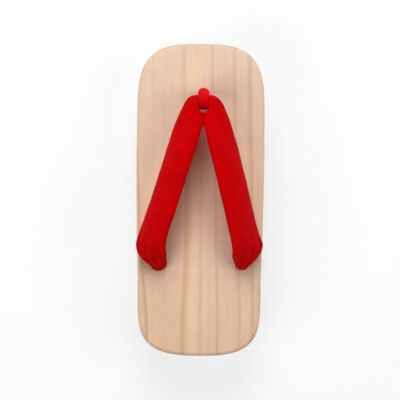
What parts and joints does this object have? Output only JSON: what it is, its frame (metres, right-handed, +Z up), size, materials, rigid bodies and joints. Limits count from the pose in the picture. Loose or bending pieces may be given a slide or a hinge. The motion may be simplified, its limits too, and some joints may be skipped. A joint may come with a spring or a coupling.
{
  "type": "geta sandal",
  "caption": "Left wooden geta sandal: a block on two cross teeth, held to the foot by a stuffed cloth thong and a toe loop.",
  "frame": {"origin": "centre of the bounding box in plan, at the ground under the teeth", "axes": "+Y to the toe, +X to the inner side of the left foot, +Z up from the ground to the footbed"},
  "size_m": [0.0966, 0.235, 0.0825],
  "materials": {
    "wood": "pale straight-grained softwood, planed and unvarnished, matt",
    "thong_cloth": "red short-pile cloth over padding",
    "cord": "undyed twisted cotton cord"
  },
  "bodies": {
    "root": {"sole_block": "wood", "strap_upper": "thong_cloth", "toe_loop": "thong_cloth", "front_cord": "cord", "rear_cord": "cord"}
  },
  "joints": []
}
